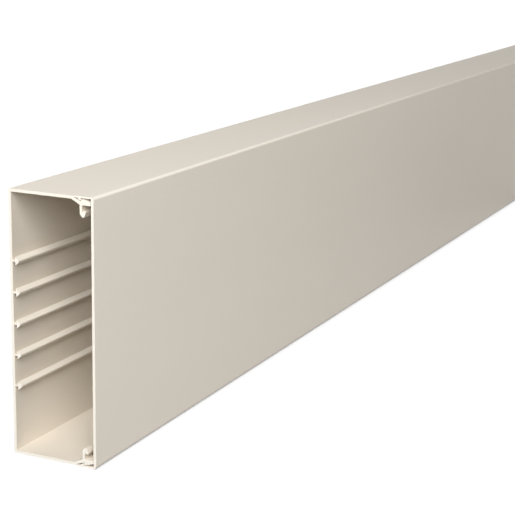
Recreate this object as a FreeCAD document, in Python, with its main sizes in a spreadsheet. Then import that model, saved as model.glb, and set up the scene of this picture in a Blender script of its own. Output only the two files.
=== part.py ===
# Wall trunking in two extrusions: a base channel with inner rails and clip brackets, and a clip-on cover.
# Millimetres, +X along the length, the cover faces -Y, +Z up; the origin is under the middle of the length.
import FreeCAD
import Part
import Sketcher
import math
import os
import re

doc = FreeCAD.newDocument("wall_trunking")

# Driving sizes. Those of the clip run backwards from the cover's outer face and inwards from its outer side.
sizes = {
    "trunking_length": 2000,
    "section_height": 170,
    "section_depth": 60,
    "back_wall": 1.8,
    "side_wall": 1.85,
    "outer_round": 0.6,
    # inner rails for partitions, spread about the middle of the back wall
    "rail_count": 5,
    "rail_pitch": 20,
    "rail_stem_wall": 1.1,
    "rail_stem_height": 2.1,
    "rail_head_width": 5.2,
    "rail_head_rim": 0.3,
    "rail_nose_reach": 2.3,
    "rail_nose_width": 0.8,
    "rail_round": 0.2,
    # fixing slots in the back wall, in two rows
    "slot_width": 6,
    "slot_length": 14,
    "slot_pitch": 250,
    "slot_end_margin": 100,
    # cover, whose flanges stand proud of the base's side walls
    "cover_wall": 1.8,
    "cover_round": 1.9,
    "flange_wall": 1.1,
    "flange_lip": 2.4,
    "seam_gap": 0.2,
    "cover_overhang": 0.2,
    # snap catch: a nib on the cover's flange sits behind a barb on the base's prong
    "prong_gap": 0.3,
    "prong_ramp": 4.7,
    "prong_fall": 1.5,
    "prong_wall": 2.2,
    "barb_gap": 0.6,
    "barb_land": 1.6,
    "barb_depth": 3.6,
    "catch_clearance": 0.3,
    "catch_overlap": 0.7,
    "nib_land": 1.0,
    # bracket that carries the prong: a gusset off the side wall, a web, and a hooked foot for cable retainers
    "gusset_step": 0.2,
    "gusset_run": 5.8,
    "gusset_depth": 5.2,
    "pocket_gap": 0.8,
    "web_set_back": 1.2,
    "web_wall": 1.6,
    "foot_depth": 12.7,
    "foot_taper": 2.1,
    "foot_land": 1.3,
    "foot_root_depth": 9.5,
    "foot_tip_gap": 3.7,
    "foot_tip_depth": 8.6,
    "foot_tip_wall": 1.3,
    "edge_round": 0.3,
}

sheet = doc.addObject("Spreadsheet::Sheet", "Sizes")
for row, (alias, value) in enumerate(sizes.items(), start=1):
    sheet.set("A%d" % row, alias.replace("_", " "))
    sheet.set("B%d" % row, str(value))
    sheet.setAlias("B%d" % row, alias)
doc.recompute()


def bound(formula):
    # Puts the sheet's name before each alias in a formula.
    return re.sub(r"[a-z]\w*", lambda word: ("Sizes." if word[0] in sizes else "") + word[0], formula)


def evaluate(formula):
    return float(sheet.evalExpression(bound(formula)))


# Places behind the cover's outer face, as formulas.
back = {}
back["prong_tip"] = "cover_wall + prong_gap"
back["barb_front"] = back["prong_tip"] + " + prong_ramp"
back["barb_back"] = back["barb_front"] + " + barb_land"
back["nib_front"] = back["barb_back"] + " + catch_clearance"
back["nib_back"] = back["nib_front"] + " + nib_land"
back["flange_root"] = back["nib_back"] + " + barb_gap + catch_overlap"
back["flange_end"] = back["flange_root"] + " + flange_lip"
back["step"] = back["flange_end"] + " + seam_gap"
back["web_back"] = back["barb_back"] + " + web_set_back"
back["web_front"] = back["web_back"] + " - web_wall"
back["gusset_root"] = back["web_back"] + " + gusset_run"
back["foot_tip"] = "cover_wall + foot_tip_gap"

# Places inwards from the cover's outer side, as formulas.
deep = {}
deep["wall_outer"] = "cover_overhang"
deep["wall_middle"] = "cover_overhang + side_wall / 2"
deep["wall_inner"] = "cover_overhang + side_wall"
deep["barb_top"] = "flange_wall + barb_gap"
deep["nib_low"] = deep["barb_top"] + " + catch_overlap"
deep["gusset_top"] = "flange_wall + gusset_step"
deep["pocket"] = deep["nib_low"] + " + pocket_gap"
deep["prong_top"] = deep["barb_top"] + " + prong_fall"
deep["prong_low"] = deep["prong_top"] + " + prong_wall"
deep["prong_root"] = deep["barb_top"] + " + barb_depth"
deep["tip_low"] = "foot_tip_depth + foot_tip_wall"


def place(behind, inward):
    # A corner of the upper half of the section, measured from its middle.
    return ("%s - section_depth / 2" % behind, "section_height / 2 - ( %s )" % inward)


def new_body(name, label):
    body = doc.addObject("PartDesign::Body", name)
    body.Label = label
    body.setExpression("Placement.Base.z", bound("section_height / 2"))
    return body


def origin_part(body, role):
    return [item for item in body.Origin.OriginFeatures if item.Role == role][0]


def new_sketch(body, name, plane):
    sketch = body.newObject("Sketcher::SketchObject", name)
    sketch.AttachmentSupport = [(origin_part(body, plane), "")]
    sketch.MapMode = "FlatFace"
    return sketch


def bind(sketch, constraint, name, formula):
    number = sketch.addConstraint(constraint)
    sketch.renameConstraint(number, name)
    sketch.setExpression("Constraints." + name, bound(formula))


def pin(sketch, geometry, point, spot, name):
    # Holds a point of the sketch at two formulas, measured from the sketch's origin.
    across, up = spot
    bind(sketch, Sketcher.Constraint("DistanceX", -1, 1, geometry, point, evaluate(across)), name + "_across", across)
    bind(sketch, Sketcher.Constraint("DistanceY", -1, 1, geometry, point, evaluate(up)), name + "_up", up)


def draw_outline(sketch, spots):
    # Draws a closed outline of straight lines, pins each named corner and gives the corners back.
    names = list(spots)
    corners = [FreeCAD.Vector(evaluate(spots[n][0]), evaluate(spots[n][1]), 0) for n in names]
    for index, corner in enumerate(corners):
        following = corners[(index + 1) % len(corners)]
        sketch.addGeometry(Part.LineSegment(corner, following), False)
    for index, name in enumerate(names):
        before = (index - 1) % len(names)
        sketch.addConstraint(Sketcher.Constraint("Coincident", before, 2, index, 1))
        pin(sketch, index, 1, spots[name], name)
    return dict(zip(names, corners))


def draw_slot(sketch, name, along, up):
    # Draws a slot along the sketch's first axis about a pinned middle.
    first = sketch.GeometryCount
    half = "( slot_length - slot_width ) / 2"
    radius = evaluate("slot_width / 2")
    middle, height = evaluate(along), evaluate(up)
    reach = evaluate(half)
    axis = FreeCAD.Vector(0, 0, 1)
    right = Part.Circle(FreeCAD.Vector(middle + reach, height, 0), axis, radius)
    left = Part.Circle(FreeCAD.Vector(middle - reach, height, 0), axis, radius)
    sketch.addGeometry(Part.ArcOfCircle(right, -math.pi / 2, math.pi / 2), False)
    sketch.addGeometry(Part.ArcOfCircle(left, math.pi / 2, 3 * math.pi / 2), False)
    for side in (1, -1):
        start = FreeCAD.Vector(middle + side * reach, height + side * radius, 0)
        end = FreeCAD.Vector(middle - side * reach, height + side * radius, 0)
        sketch.addGeometry(Part.LineSegment(start, end), False)
    for joint in ((0, 2, 2, 1), (2, 2, 1, 1), (1, 2, 3, 1), (3, 2, 0, 1)):
        ends = (first + joint[0], joint[1], first + joint[2], joint[3])
        sketch.addConstraint(Sketcher.Constraint("Tangent", *ends))
    pin(sketch, first, 3, ("%s + %s" % (along, half), up), name + "_right")
    pin(sketch, first + 1, 3, ("%s - %s" % (along, half), up), name + "_left")
    bind(sketch, Sketcher.Constraint("Radius", first, radius), name + "_radius", "slot_width / 2")
    sketch.addConstraint(Sketcher.Constraint("Equal", first, first + 1))


def pad_along(body, sketch, name):
    pad = body.newObject("PartDesign::Pad", name)
    pad.Profile = sketch
    pad.SideType = "Symmetric"
    pad.setExpression("Length", bound("trunking_length"))
    doc.recompute()
    return pad


def mirror_about_middle(body, pads, name):
    mirror = body.newObject("PartDesign::Mirrored", name)
    mirror.Originals = pads
    mirror.MirrorPlane = (origin_part(body, "XY_Plane"), [""])
    body.Tip = mirror
    doc.recompute()
    return mirror


def repeat_along(body, original, axis, spacing, count, name):
    pattern = body.newObject("PartDesign::LinearPattern", name)
    pattern.Originals = [original]
    pattern.Direction = (origin_part(body, axis), [""])
    pattern.Mode = "Spacing"
    pattern.setExpression("Offset", bound(spacing))
    pattern.setExpression("Occurrences", bound(count))
    body.Tip = pattern
    doc.recompute()
    return pattern


def round_edges(body, base, corners, size, name):
    # Rounds the edges along the length that pass through the given corners of the section.
    edges = []
    for number, edge in enumerate(base.Shape.Edges, start=1):
        middle = edge.CenterOfMass
        near = [c for c in corners if abs(middle.y - c.x) < 0.01 and abs(middle.z - c.y) < 0.01]
        if near and edge.BoundBox.XLength > 0.9 * evaluate("trunking_length"):
            edges.append("Edge%d" % number)
    if len(edges) != len(corners):
        raise ValueError("%s found %d edges for %d corners" % (name, len(edges), len(corners)))
    fillet = body.newObject("PartDesign::Fillet", name)
    fillet.Base = (base, edges)
    fillet.setExpression("Radius", bound(size))
    body.Tip = fillet
    doc.recompute()
    return fillet


def both_sides(corners, names):
    return [FreeCAD.Vector(corners[n].x, s * corners[n].y, 0) for n in names for s in (1, -1)]


# Base channel: half of the U section and one clip bracket, mirrored about the middle.
base = new_body("BaseChannel", "base_channel")
channel = {
    "outer_step": place(back["step"], deep["wall_outer"]),
    "outer_back": place("section_depth", deep["wall_outer"]),
    "back_middle": place("section_depth", "section_height / 2"),
    "inner_middle": place("section_depth - back_wall", "section_height / 2"),
    "inner_back": place("section_depth - back_wall", deep["wall_inner"]),
    "inner_step": place(back["step"], deep["wall_inner"]),
}
channel_sketch = new_sketch(base, "ChannelSection", "YZ_Plane")
channel_corners = draw_outline(channel_sketch, channel)
channel_pad = pad_along(base, channel_sketch, "Channel")

bracket = {
    "gusset_top": place(back["step"], deep["gusset_top"]),
    "pocket": place(back["barb_back"], deep["pocket"]),
    "barb_back": place(back["barb_back"], deep["barb_top"]),
    "barb_front": place(back["barb_front"], deep["barb_top"]),
    "prong_top": place(back["prong_tip"], deep["prong_top"]),
    "prong_low": place(back["prong_tip"], deep["prong_low"]),
    "prong_root": place(back["web_front"], deep["prong_root"]),
    "foot_root": place(back["web_front"], "foot_root_depth"),
    "tip_top": place(back["foot_tip"], "foot_tip_depth"),
    "tip_low": place(back["foot_tip"], deep["tip_low"]),
    "foot_front": place(back["web_front"] + " - foot_land", "foot_depth"),
    "foot_back": place(back["web_front"], "foot_depth"),
    "web_low": place(back["web_back"], "foot_depth - foot_taper"),
    "gusset_low": place(back["web_back"], "gusset_depth"),
    "gusset_root": place(back["gusset_root"], deep["wall_inner"]),
    "wall_root": place(back["gusset_root"], deep["wall_middle"]),
    "wall_end": place(back["step"], deep["wall_middle"]),
}
bracket_sketch = new_sketch(base, "BracketSection", "YZ_Plane")
bracket_corners = draw_outline(bracket_sketch, bracket)
bracket_pad = pad_along(base, bracket_sketch, "Bracket")
base_shell = mirror_about_middle(base, [channel_pad, bracket_pad], "BothSides")

# Rails with arrow heads on the inside of the back wall.
first_rail = "0 - rail_pitch * ( rail_count - 1 ) / 2"
stem_foot = "section_depth / 2 - back_wall / 2"
head_under = "section_depth / 2 - back_wall - rail_stem_height"
head_rim = head_under + " - rail_head_rim"
nose_front = head_rim + " - rail_nose_reach"
rail = {}
for side, sign in (("low", "-"), ("high", "+")):
    stem_up = "%s %s rail_stem_wall / 2" % (first_rail, sign)
    head_up = "%s %s rail_head_width / 2" % (first_rail, sign)
    nose_up = "%s %s rail_nose_width / 2" % (first_rail, sign)
    run = [
        ("stem_foot_" + side, (stem_foot, stem_up)),
        ("stem_top_" + side, (head_under, stem_up)),
        ("head_under_" + side, (head_under, head_up)),
        ("head_rim_" + side, (head_rim, head_up)),
        ("nose_" + side, (nose_front, nose_up)),
    ]
    rail.update(run if side == "low" else reversed(run))
rail_sketch = new_sketch(base, "RailSection", "YZ_Plane")
rail_corners = draw_outline(rail_sketch, rail)
rail_pad = pad_along(base, rail_sketch, "Rail")
rails = repeat_along(base, rail_pad, "Z_Axis", "rail_pitch", "rail_count", "Rails")

# Fixing slots between the two outer rails of each side, spread about the middle of the length.
slot_count = "floor((trunking_length - 2 * slot_end_margin - slot_length) / slot_pitch) + 1"
first_slot = "0 - slot_pitch * ( %s - 1 ) / 2" % slot_count
slot_row = "rail_pitch * ( rail_count - 2 ) / 2"
slot_sketch = new_sketch(base, "FixingSlots", "XZ_Plane")
draw_slot(slot_sketch, "upper", first_slot, slot_row)
draw_slot(slot_sketch, "lower", first_slot, "0 - " + slot_row)
slot_cut = base.newObject("PartDesign::Pocket", "FixingSlotPair")
slot_cut.Profile = slot_sketch
slot_cut.Type = "ThroughAll"
slot_cut.SideType = "Symmetric"
doc.recompute()
slots = repeat_along(base, slot_cut, "X_Axis", "slot_pitch", slot_count, "FixingSlotRow")

# Rounded edges of the base.
heads = [rail_corners[n] for n in rail_corners if n.startswith(("head_under", "nose"))]
steps = [FreeCAD.Vector(0, evaluate("rail_pitch") * k, 0) for k in range(int(evaluate("rail_count")))]
rail_round = round_edges(base, slots, [h + s for h in heads for s in steps], "rail_round", "RailRound")
bracket_edges = ["barb_back", "barb_front", "prong_top", "prong_low", "tip_top", "tip_low"]
bracket_edges += ["foot_front", "foot_back", "web_low", "gusset_low"]
bracket_edges = both_sides(bracket_corners, bracket_edges)
bracket_round = round_edges(base, rail_round, bracket_edges, "edge_round", "BracketRound")
outer_edges = both_sides(channel_corners, ["outer_back"])
round_edges(base, bracket_round, outer_edges, "outer_round", "OuterRound")

# Cover: half of the C section with its flange and nib, mirrored about the middle.
cover = new_body("ClipCover", "clip_cover")
cover_half = {
    "outer_middle": place("0", "section_height / 2"),
    "outer_corner": place("0", "0"),
    "flange_end": place(back["flange_end"], "0"),
    "flange_low": place(back["flange_end"], "flange_wall"),
    "flange_root": place(back["flange_root"], "flange_wall"),
    "nib_back": place(back["nib_back"], deep["nib_low"]),
    "nib_front": place(back["nib_front"], deep["nib_low"]),
    "nib_top": place(back["nib_front"], "flange_wall"),
    "inner_corner": place("cover_wall", "flange_wall"),
    "inner_middle": place("cover_wall", "section_height / 2"),
}
cover_sketch = new_sketch(cover, "CoverSection", "YZ_Plane")
cover_corners = draw_outline(cover_sketch, cover_half)
cover_pad = pad_along(cover, cover_sketch, "CoverHalf")
cover_shell = mirror_about_middle(cover, [cover_pad], "BothFlanges")
cover_edges = both_sides(cover_corners, ["flange_end", "flange_low", "nib_back", "nib_front", "inner_corner"])
flange_round = round_edges(cover, cover_shell, cover_edges, "edge_round", "FlangeRound")
round_edges(cover, flange_round, both_sides(cover_corners, ["outer_corner"]), "cover_round", "CoverRound")

# Check the document, then write one file for each piece.
doc.recompute()
for item in doc.Objects:
    if "Invalid" in item.State or "Error" in item.State:
        raise ValueError("%s is %s" % (item.Name, item.State))
os.makedirs("parts", exist_ok=True)
for body in (base, cover):
    shape = body.Shape
    if shape.isNull() or not shape.isValid() or len(shape.Solids) != 1:
        raise ValueError(body.Label + " is not one valid solid")
    shape.exportStep("parts/%s.step" % body.Label)
    print(body.Label, round(shape.Volume / 1000, 1), "cm3")
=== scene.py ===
# Looks of the wall trunking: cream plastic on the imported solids, a pale floor, soft light
# and the photograph's view. Lengths are in metres.
import math

import bpy
from mathutils import Matrix, Vector


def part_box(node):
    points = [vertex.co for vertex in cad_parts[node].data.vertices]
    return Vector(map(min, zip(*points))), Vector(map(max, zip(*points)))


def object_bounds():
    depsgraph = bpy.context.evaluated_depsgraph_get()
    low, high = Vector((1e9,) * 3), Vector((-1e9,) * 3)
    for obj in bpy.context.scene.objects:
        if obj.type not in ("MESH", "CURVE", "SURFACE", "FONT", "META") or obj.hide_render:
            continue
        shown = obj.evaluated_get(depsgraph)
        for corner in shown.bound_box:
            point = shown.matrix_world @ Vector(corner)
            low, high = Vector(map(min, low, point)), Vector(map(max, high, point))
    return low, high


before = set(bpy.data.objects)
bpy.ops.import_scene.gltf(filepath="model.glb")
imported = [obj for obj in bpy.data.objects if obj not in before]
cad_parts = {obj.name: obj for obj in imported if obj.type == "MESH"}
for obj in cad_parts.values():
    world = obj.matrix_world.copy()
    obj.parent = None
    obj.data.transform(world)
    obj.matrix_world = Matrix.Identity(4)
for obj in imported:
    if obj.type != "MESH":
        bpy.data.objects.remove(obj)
cadLow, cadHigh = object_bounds()
scene = bpy.context.scene
scene.view_settings.view_transform = "Standard"
print("stage 1: frame loaded")

white = (1.0, 1.0, 1.0, 1.0)
wholeSpan = (0.0, 1.0)
noiseSpan = (0.3, 0.7)  # where most of a noise lies
millimetre = 0.001


# Node helpers
def newMaterial(name):
    material = bpy.data.materials.new(name)
    material.use_nodes = True
    material.node_tree.nodes.clear()
    return material, material.node_tree


def addNode(tree, kind, settings=None, inputs=None):
    node = tree.nodes.new(kind)
    for key, value in (settings or {}).items():
        setattr(node, key, value)
    for key, value in (inputs or {}).items():
        if isinstance(value, bpy.types.NodeSocket):
            tree.links.new(value, node.inputs[key])
        else:
            node.inputs[key].default_value = value
    return node


def mathNode(tree, operation, first, second=0.0):
    return addNode(tree, "ShaderNodeMath", {"operation": operation}, {0: first, 1: second}).outputs[0]


def noiseNode(tree, coords, stretch, scale, detail=2.0, roughness=0.5):
    mapping = addNode(tree, "ShaderNodeMapping", {}, {"Vector": coords, "Scale": stretch})
    inputs = {"Vector": mapping.outputs[0], "Scale": scale, "Detail": detail, "Roughness": roughness}
    return addNode(tree, "ShaderNodeTexNoise", {}, inputs).outputs["Fac"]


# A mix node has sockets of the same name for each kind of value, so they are picked by number.
def mixColour(tree, factor, first, second):
    inputs = {0: factor, 6: first, 7: second}
    return addNode(tree, "ShaderNodeMix", {"data_type": "RGBA"}, inputs).outputs[2]


def mixNumber(tree, factor, first, second):
    inputs = {0: factor, 2: first, 3: second}
    return addNode(tree, "ShaderNodeMix", {"data_type": "FLOAT"}, inputs).outputs[0]


def mapRange(tree, value, fromSpan, toSpan):
    inputs = {"Value": value}
    inputs["From Min"], inputs["From Max"] = fromSpan
    inputs["To Min"], inputs["To Max"] = toSpan
    return addNode(tree, "ShaderNodeMapRange", {}, inputs).outputs[0]


def splitAxes(tree, vector):
    return addNode(tree, "ShaderNodeSeparateXYZ", {}, {0: vector}).outputs


# 1 for a ray from the eye, off a gloss or through glass, and 0 for the light that spreads.
def seenRay(tree):
    path = addNode(tree, "ShaderNodeLightPath").outputs
    seen = mathNode(tree, "MAXIMUM", path["Is Camera Ray"], path["Is Glossy Ray"])
    return mathNode(tree, "MAXIMUM", seen, path["Is Transmission Ray"])


# Extruded plastic: long die lines, a fine skin, cloudy colour, a painted highlight along the rounded long
# corners and matt saw-cut ends.
plastic = {
    "colour": (0.815, 0.75, 0.655, 1.0),
    "cloud": (0.80, 0.735, 0.64, 1.0),
    "line": (0.835, 0.77, 0.678, 1.0),
    # colour of the painted highlight on the rounded long corners
    "edge": (0.90, 0.845, 0.755, 1.0),
    "cut": (0.905, 0.855, 0.762, 1.0),
    "cloudNoise": {"stretch": (2.0, 9.0, 9.0), "scale": 2.5, "detail": 3.0},
    "lineNoise": {"stretch": (1.0, 900.0, 900.0), "scale": 1.0, "detail": 4.0, "roughness": 0.65},
    "skinNoise": {"stretch": (1.0, 1.6, 1.6), "scale": 900.0},
    "sawNoise": {"stretch": (1.0, 90.0, 900.0), "scale": 1.0, "detail": 3.0, "roughness": 0.7},
    "cutFacing": (0.9, 0.99),  # how squarely a face looks along the length to count as cut
    "cornerTurn": (0.12, 0.4),  # how far a face has turned from front to top to count as a corner
    # strength of the painted corner highlight
    "edgeWear": 0.5,
    "highlightAlong": (0.4, 0.85),  # distance from the middle, over which the painted highlight grows
    "highlightShare": (0.1, 1.0),
    "highlightUneven": (0.8, 1.0),
    "lineSpan": (0.35, 0.75),
    "lineTint": 0.6,
    "roughness": (0.43, 0.57),
    "cutRoughness": (0.62, 0.78),
    "gloss": 0.2,
    "ior": 1.53,
    "lineHeight": 0.016,  # relief in millimetres
    "skinHeight": 0.012,
    "sawHeight": 0.06,
}
basePlastic = dict(plastic, colour=(0.815, 0.746, 0.643, 1.0), cloud=(0.80, 0.732, 0.63, 1.0))
coverPlastic = dict(plastic, edgeWear=1.0)


def pvcMaterial(name, look):
    material, tree = newMaterial(name)
    coords = addNode(tree, "ShaderNodeTexCoord").outputs["Object"]
    normal = splitAxes(tree, addNode(tree, "ShaderNodeNewGeometry").outputs["Normal"])
    cutEnd = mapRange(tree, mathNode(tree, "ABSOLUTE", normal["X"]), look["cutFacing"], wholeSpan)

    cloud = noiseNode(tree, coords, **look["cloudNoise"])
    dieLines = noiseNode(tree, coords, **look["lineNoise"])
    skin = noiseNode(tree, coords, **look["skinNoise"])
    sawMarks = noiseNode(tree, coords, **look["sawNoise"])

    # Painted highlight: the long rounded corners are made paler, most of all near the ends, and unevenly
    # along the die lines.
    turn = mathNode(tree, "ABSOLUTE", mathNode(tree, "MULTIPLY", normal["Y"], normal["Z"]))
    corner = mapRange(tree, turn, look["cornerTurn"], (0.0, look["edgeWear"]))
    along = mathNode(tree, "ABSOLUTE", splitAxes(tree, coords)["X"])
    nearEnds = mapRange(tree, along, look["highlightAlong"], look["highlightShare"])
    highlightReach = mathNode(tree, "MULTIPLY", nearEnds, mapRange(tree, dieLines, noiseSpan, look["highlightUneven"]))
    paintedHighlight = mathNode(tree, "MULTIPLY", corner, highlightReach)

    tint = mixColour(tree, mapRange(tree, cloud, noiseSpan, wholeSpan), look["colour"], look["cloud"])
    lineTint = mapRange(tree, dieLines, look["lineSpan"], (0.0, look["lineTint"]))
    tint = mixColour(tree, lineTint, tint, look["line"])
    tint = mixColour(tree, paintedHighlight, tint, look["edge"])
    tint = mixColour(tree, cutEnd, tint, look["cut"])

    skinRough = mapRange(tree, dieLines, noiseSpan, look["roughness"])
    cutRough = mapRange(tree, sawMarks, noiseSpan, look["cutRoughness"])
    rough = mixNumber(tree, cutEnd, skinRough, cutRough)

    lineRelief = mathNode(tree, "MULTIPLY", dieLines, look["lineHeight"])
    skinRelief = mathNode(tree, "MULTIPLY", skin, look["skinHeight"])
    sawRelief = mathNode(tree, "MULTIPLY", sawMarks, look["sawHeight"])
    relief = mixNumber(tree, cutEnd, mathNode(tree, "ADD", lineRelief, skinRelief), sawRelief)
    bump = addNode(tree, "ShaderNodeBump", {}, {"Strength": 1.0, "Distance": millimetre, "Height": relief})

    shader = addNode(tree, "ShaderNodeBsdfPrincipled", {}, {
        "Base Color": tint,
        "Roughness": rough,
        "Normal": bump.outputs[0],
        "IOR": look["ior"],
        "Specular IOR Level": look["gloss"],
    })
    addNode(tree, "ShaderNodeOutputMaterial", {}, {"Surface": shader.outputs[0]})
    return material


def dressNode(node, material):
    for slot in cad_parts[node].material_slots:
        slot.material = material


dressNode("base_channel", pvcMaterial("basePvc", basePlastic))
dressNode("clip_cover", pvcMaterial("coverPvc", coverPlastic))
print("stage 2: plastic on the two extrusions")

# Floor: white to the eye, grey to the light that it throws back, with a painted contact shadow where the
# cover's lower corner meets it.
floorLook = {
    "size": 14.0,
    "drop": 0.0003,  # keeps the floor just clear of the underside
    "paper": (0.80, 0.80, 0.79, 1.0),
    "grain": (0.83, 0.83, 0.82, 1.0),
    "grainNoise": {"stretch": (1.0, 1.0, 1.0), "scale": 300.0},
    "bounce": (0.20, 0.195, 0.19, 1.0),
    "glow": 1.06,
    "white": 0.9,  # share of white near the object, where the rest takes its shadow
    "whiteSpan": (0.15, 0.7),  # distance from the middle line or past the ends, to whole white
    "contactReach": 0.008,
    "contactDark": 0.75,
    "contactBehind": (0.0015, 0.003),  # how far behind the cover's face the painted contact shadow ends
    "contactSpan": (0.1, 0.85),
    "contactSamples": 16,
}


def floorMaterial(look):
    material, tree = newMaterial("floorPaper")
    coords = addNode(tree, "ShaderNodeTexCoord").outputs["Object"]
    seen = seenRay(tree)
    grain = noiseNode(tree, coords, **look["grainNoise"])
    paper = mixColour(tree, seen, look["bounce"], mixColour(tree, grain, look["paper"], look["grain"]))
    diffuse = addNode(tree, "ShaderNodeBsdfDiffuse", {}, {"Color": paper})
    glow = addNode(tree, "ShaderNodeEmission", {}, {"Color": white, "Strength": look["glow"]})

    # The white is whole away from the object.
    spot = splitAxes(tree, coords)
    past = mathNode(tree, "SUBTRACT", mathNode(tree, "ABSOLUTE", spot["X"]), cadHigh[0])
    away = mathNode(tree, "MAXIMUM", mathNode(tree, "ABSOLUTE", spot["Y"]), past)
    away = mapRange(tree, away, look["whiteSpan"], (look["white"], 1.0))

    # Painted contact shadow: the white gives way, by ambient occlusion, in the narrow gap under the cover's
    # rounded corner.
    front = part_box("clip_cover")[0][1]
    behind = [front + depth for depth in look["contactBehind"]]
    under = mapRange(tree, spot["Y"], behind, (1.0, 0.0))
    settings = {"samples": look["contactSamples"]}
    gap = addNode(tree, "ShaderNodeAmbientOcclusion", settings, {"Distance": look["contactReach"]})
    shade = mapRange(tree, gap.outputs["AO"], look["contactSpan"], (look["contactDark"], 0.0))
    lit = mathNode(tree, "SUBTRACT", 1.0, mathNode(tree, "MULTIPLY", shade, under))

    share = mathNode(tree, "MULTIPLY", mathNode(tree, "MULTIPLY", seen, away), lit)
    shader = addNode(tree, "ShaderNodeMixShader", {}, {0: share, 1: diffuse.outputs[0], 2: glow.outputs[0]})
    addNode(tree, "ShaderNodeOutputMaterial", {}, {"Surface": shader.outputs[0]})
    return material


def buildFloor(look):
    half = look["size"] / 2
    corners = [(-half, -half), (half, -half), (half, half), (-half, half)]
    mesh = bpy.data.meshes.new("floor")
    mesh.from_pydata([(x, y, -look["drop"]) for x, y in corners], [], [(0, 1, 2, 3)])
    mesh.materials.append(floorMaterial(look))
    floor = bpy.data.objects.new("floor", mesh)
    scene.collection.objects.link(floor)


buildFloor(floorLook)

# World: white to the eye, an even soft light to the object.
worldLook = {"light": 0.061, "tint": white}


def buildWorld(look):
    world = bpy.data.worlds.new("studio")
    world.use_nodes = True
    scene.world = world
    tree = world.node_tree
    tree.nodes.clear()
    light = addNode(tree, "ShaderNodeBackground", {}, {"Color": look["tint"], "Strength": look["light"]})
    backdrop = addNode(tree, "ShaderNodeBackground", {}, {"Color": white, "Strength": 1.0})
    inputs = {0: seenRay(tree), 1: light.outputs[0], 2: backdrop.outputs[0]}
    shader = addNode(tree, "ShaderNodeMixShader", {}, inputs)
    addNode(tree, "ShaderNodeOutputWorld", {}, {"Surface": shader.outputs[0]})


buildWorld(worldLook)

# Soft boxes: place, the point each one faces, size, power in watts, how wide it throws in degrees
# (180 if not said) and whether a gloss mirrors it (yes if not said).
lamps = {
    "key": {"at": (-2.300, -0.566, 1.544), "to": (-0.9, 0.0, 0.085), "size": 1.4, "power": 33.6},
    "frontKey": {"at": (-2.280, -1.333, 0.939), "to": (-0.9, 0.0, 0.085), "size": 1.4, "power": 11.9},
    "endKey": {"at": (-2.625, -0.462, 0.735), "to": (-0.9, 0.0, 0.085), "size": 0.7, "power": 11.5},
    "frontFill": {"at": (-0.6, -1.75, 0.50), "to": (-1.0, 0.0, 0.085), "size": 0.8, "power": 5.5},
    "midFill": {"at": (1.0, -1.75, 0.50), "to": (0.6, 0.0, 0.085), "size": 0.8, "power": 2.55},
    "backFill": {
        "at": (0.0, 3.0, 0.45), "to": (0.0, 0.0, 0.085), "size": 1.2, "power": 46.0, "mirrored": False,
    },
    # The far half, which the photograph hardly shows
    "farKey": {
        "at": (1.1, -1.4, 0.80), "to": (0.85, 0.0, 0.085), "size": 0.6, "power": 0.85, "spread": 60.0,
    },
    "farSky": {
        "at": (1.05, 0.1, 1.90), "to": (1.0, 0.0, 0.17), "size": 0.8, "power": 0.5, "spread": 50.0,
    },
    "farEnd": {
        "at": (2.4, -0.45, 0.50), "to": (1.0, 0.0, 0.085), "size": 0.4, "power": 0.95, "spread": 40.0,
        "mirrored": False,
    },
    "farFill": {
        "at": (5.5, 0.85, 0.45), "to": (1.0, 0.0, 0.085), "size": 0.8, "power": 28.0, "mirrored": False,
    },
    # The cover when it is drawn off
    "drawnFill": {
        "at": (2.7, -1.70, 0.60), "to": (2.4, 0.0, 0.085), "size": 0.8, "power": 3.1, "spread": 80.0,
    },
}


def buildLamps(looks):
    for name, look in looks.items():
        data = bpy.data.lights.new(name, "AREA")
        data.shape = "DISK"
        data.size = look["size"]
        data.energy = look["power"]
        data.color = white[:3]
        data.spread = math.radians(look.get("spread", 180.0))
        lamp = bpy.data.objects.new(name, data)
        lamp.visible_camera = False
        lamp.visible_glossy = look.get("mirrored", True)
        lamp.location = look["at"]
        lamp.rotation_mode = "QUATERNION"
        lamp.rotation_quaternion = (Vector(look["to"]) - Vector(look["at"])).to_track_quat("-Z", "Y")
        scene.collection.objects.link(lamp)


buildLamps(lamps)
print("stage 3: floor, world and lamps")

# Camera fitted to the photograph's edges. The focal length is in pixels of a frame 515 wide.
cameraLook = {
    "at": (-1.69487, -0.46251, 0.33530),
    "azimuth": -64.8753,
    "elevation": 13.7868,
    "roll": -1.0558,
    "focal": 1417.26,
    "frame": 515.0,
    "sensor": 36.0,  # millimetres
    "clip": (0.05, 60.0),
}


def buildCamera(look):
    azimuth, elevation, roll = (math.radians(look[key]) for key in ("azimuth", "elevation", "roll"))
    level = math.cos(elevation)
    backward = Vector((math.sin(azimuth) * level, -math.cos(azimuth) * level, math.sin(elevation)))
    right = (-backward).cross(Vector((0.0, 0.0, 1.0))).normalized()
    down = (-backward).cross(right)
    tiltedRight = math.cos(roll) * right + math.sin(roll) * down
    tiltedDown = math.cos(roll) * down - math.sin(roll) * right
    turn = Matrix((tiltedRight, -tiltedDown, backward)).transposed().to_4x4()
    data = bpy.data.cameras.new("photoCamera")
    data.sensor_fit = "HORIZONTAL"
    data.sensor_width = look["sensor"]
    data.lens = look["focal"] / look["frame"] * look["sensor"]
    data.clip_start, data.clip_end = look["clip"]
    camera = bpy.data.objects.new("photoCamera", data)
    camera.matrix_world = Matrix.Translation(look["at"]) @ turn
    scene.collection.objects.link(camera)
    scene.camera = camera


buildCamera(cameraLook)
print("stage 4: camera")
